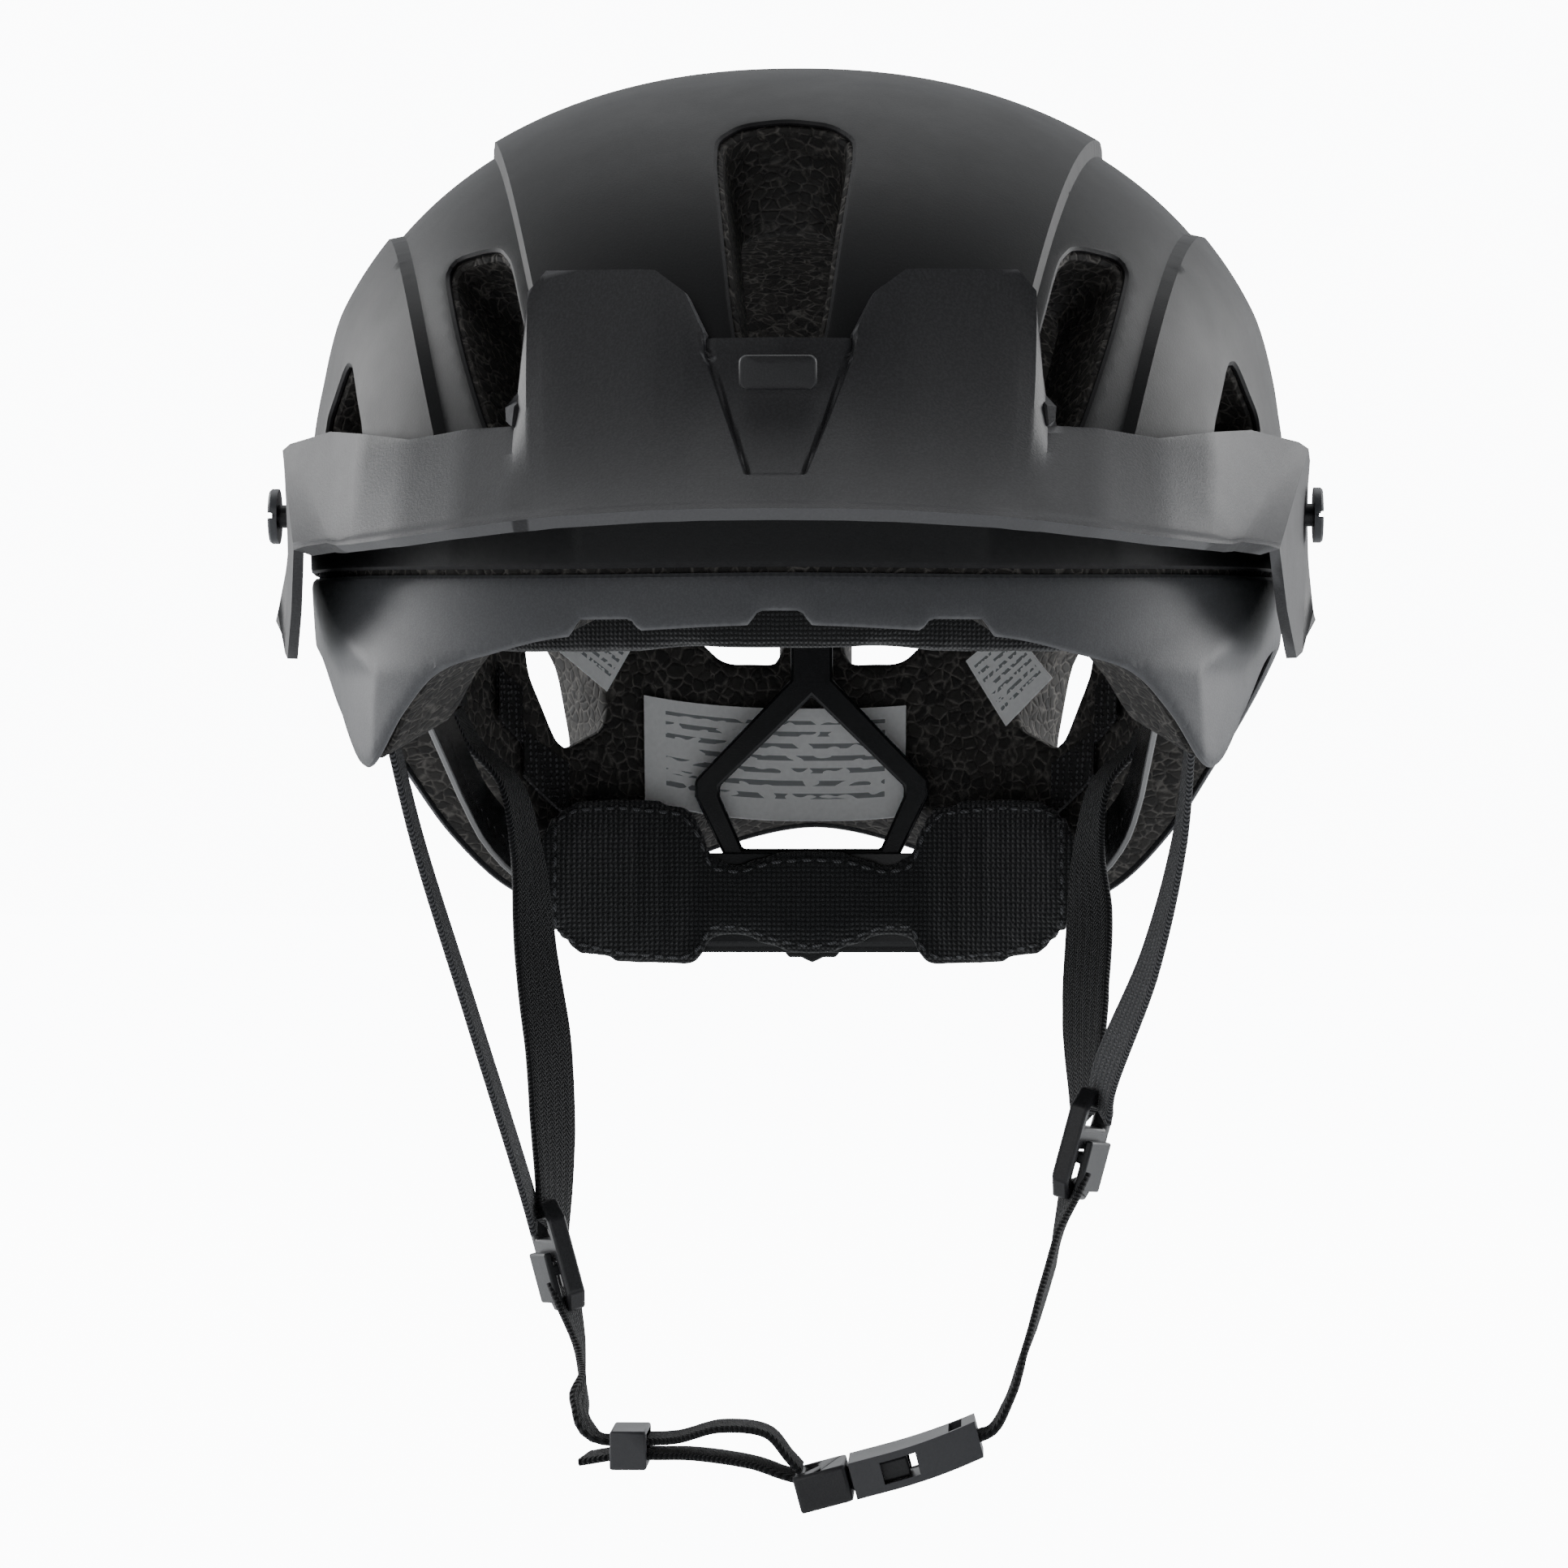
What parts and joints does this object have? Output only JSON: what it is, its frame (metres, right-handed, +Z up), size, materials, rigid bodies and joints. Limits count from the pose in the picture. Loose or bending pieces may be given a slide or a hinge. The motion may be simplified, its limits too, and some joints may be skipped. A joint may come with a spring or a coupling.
{
  "type": "cycling helmet",
  "caption": "Matte black mountain-bike helmet with a tilting peak, foam liner, dial-fit rear cradle and a side-release chin-strap harness.",
  "frame": {"origin": "middle of the wearer's head at the height of the fit band, which is the head_seat mount", "axes": "+Z up through the crown, -Y towards the front of the helmet, +X towards the wearer's left"},
  "size_m": [0.2276, 0.3101, 0.314],
  "materials": {
    "upper_shell": "matte",
    "lower_shell": "matte",
    "visor": "matte",
    "foam": "matte",
    "knit_pad": "knitted",
    "hook_patch": "hook",
    "label": "satin",
    "moulded_hardware": "satin",
    "screw": "satin",
    "webbing": "woven",
    "gloss_black": "satin"
  },
  "bodies": {
    "helmet": {"upper_shell": "upper_shell", "lower_shell": "lower_shell", "foam_liner": "foam", "left_front_strap_anchor": "moulded_hardware", "left_rear_strap_anchor": "moulded_hardware", "right_front_strap_anchor": "moulded_hardware", "right_rear_strap_anchor": "moulded_hardware", "left_visor_insert": "moulded_hardware", "right_visor_insert": "moulded_hardware", "left_belt_pin": "moulded_hardware", "right_belt_pin": "moulded_hardware", "hanger_track": "gloss_black", "brow_pad": "knit_pad", "left_crown_pad": "knit_pad", "right_crown_pad": "knit_pad", "left_front_hook_patch": "hook_patch", "left_rear_hook_patch": "hook_patch", "right_front_hook_patch": "hook_patch", "right_rear_hook_patch": "hook_patch", "rear_label": "label", "left_label": "label", "right_label": "label", "left_front_strap": "webbing", "left_rear_strap": "webbing", "right_front_strap": "webbing", "right_rear_strap": "webbing", "left_chin_strap": "webbing", "chin_strap_tail": "webbing", "right_chin_strap": "webbing", "left_divider_frame": "gloss_black", "right_divider_frame": "gloss_black", "buckle_male_half": "gloss_black"},
    "visor": {"visor": "visor", "visor_badge": "visor", "left_visor_screw": "screw", "right_visor_screw": "screw"},
    "cradle": {"cradle_frame": "gloss_black", "dial_cover": "gloss_black", "cradle_pad": "knit_pad", "hanger": "gloss_black", "left_fit_belt": "gloss_black", "right_fit_belt": "gloss_black"},
    "dial": {"dial_knob": "gloss_black", "dial_pinion": "gloss_black"},
    "left_rack": {"left_rack": "gloss_black"},
    "right_rack": {"right_rack": "gloss_black"},
    "buckle_socket": {"buckle_female_half": "gloss_black", "buckle_strap_loop": "webbing"},
    "front_prong": {"front_buckle_prong": "gloss_black"},
    "back_prong": {"back_buckle_prong": "gloss_black"},
    "left_lever": {"left_divider_lever": "gloss_black"},
    "right_lever": {"right_divider_lever": "gloss_black"},
    "keeper": {"strap_keeper": "gloss_black"}
  },
  "joints": [
    {"name": "visor_tilt", "type": "hinge", "parent": "helmet", "child": "visor", "pos_m": [0, -0.032, 0.058], "axis": [-1, 0, 0], "range_deg": [0, 16]},
    {"name": "cradle_height", "type": "hinge", "parent": "helmet", "child": "cradle", "pos_m": [0, -0.062, 0.02], "axis": [1, 0, 0], "range_deg": [-4, 1]},
    {"name": "dial_turn", "type": "hinge", "parent": "cradle", "child": "dial", "pos_m": [0, 0.108, -0.03], "axis": [0, -1, 0], "range_deg": [0, 160]},
    {"name": "left_rack_slide", "type": "slide", "parent": "cradle", "child": "left_rack", "axis": [1, 0, 0], "range_m": [0, 0.012]},
    {"name": "right_rack_slide", "type": "slide", "parent": "cradle", "child": "right_rack", "axis": [-1, 0, 0], "range_m": [0, 0.012]},
    {"name": "buckle_release", "type": "slide", "parent": "helmet", "child": "buckle_socket", "axis": [0.9659, 0, 0.2588], "range_m": [0, 0.016]},
    {"name": "front_prong_squeeze", "type": "hinge", "parent": "helmet", "child": "front_prong", "pos_m": [0.01268, -0.0363, -0.14987], "axis": [-0.2588, 0, 0.9659], "range_deg": [0, 7], "stiffness_Nm_per_rad": 0.2},
    {"name": "back_prong_squeeze", "type": "hinge", "parent": "helmet", "child": "back_prong", "pos_m": [0.01268, -0.0237, -0.14987], "axis": [0.2588, 0, -0.9659], "range_deg": [0, 7], "stiffness_Nm_per_rad": 0.2},
    {"name": "left_lever_open", "type": "hinge", "parent": "helmet", "child": "left_lever", "pos_m": [-0.05786, 0.00295, -0.10497], "axis": [-0.2985, 0.9511, -0.08], "range_deg": [0, 80]},
    {"name": "right_lever_open", "type": "hinge", "parent": "helmet", "child": "right_lever", "pos_m": [0.06636, 0.00295, -0.07997], "axis": [-0.2985, -0.9511, 0.08], "range_deg": [0, 80]},
    {"name": "keeper_slide", "type": "slide", "parent": "helmet", "child": "keeper", "axis": [1, 0, 0], "range_m": [0, 0.005]}
  ],
  "couplings": [
    {"joint": "left_rack_slide", "follows": "dial_turn", "m_per_rad": 0.0042},
    {"joint": "right_rack_slide", "follows": "dial_turn", "m_per_rad": 0.0042}
  ]
}
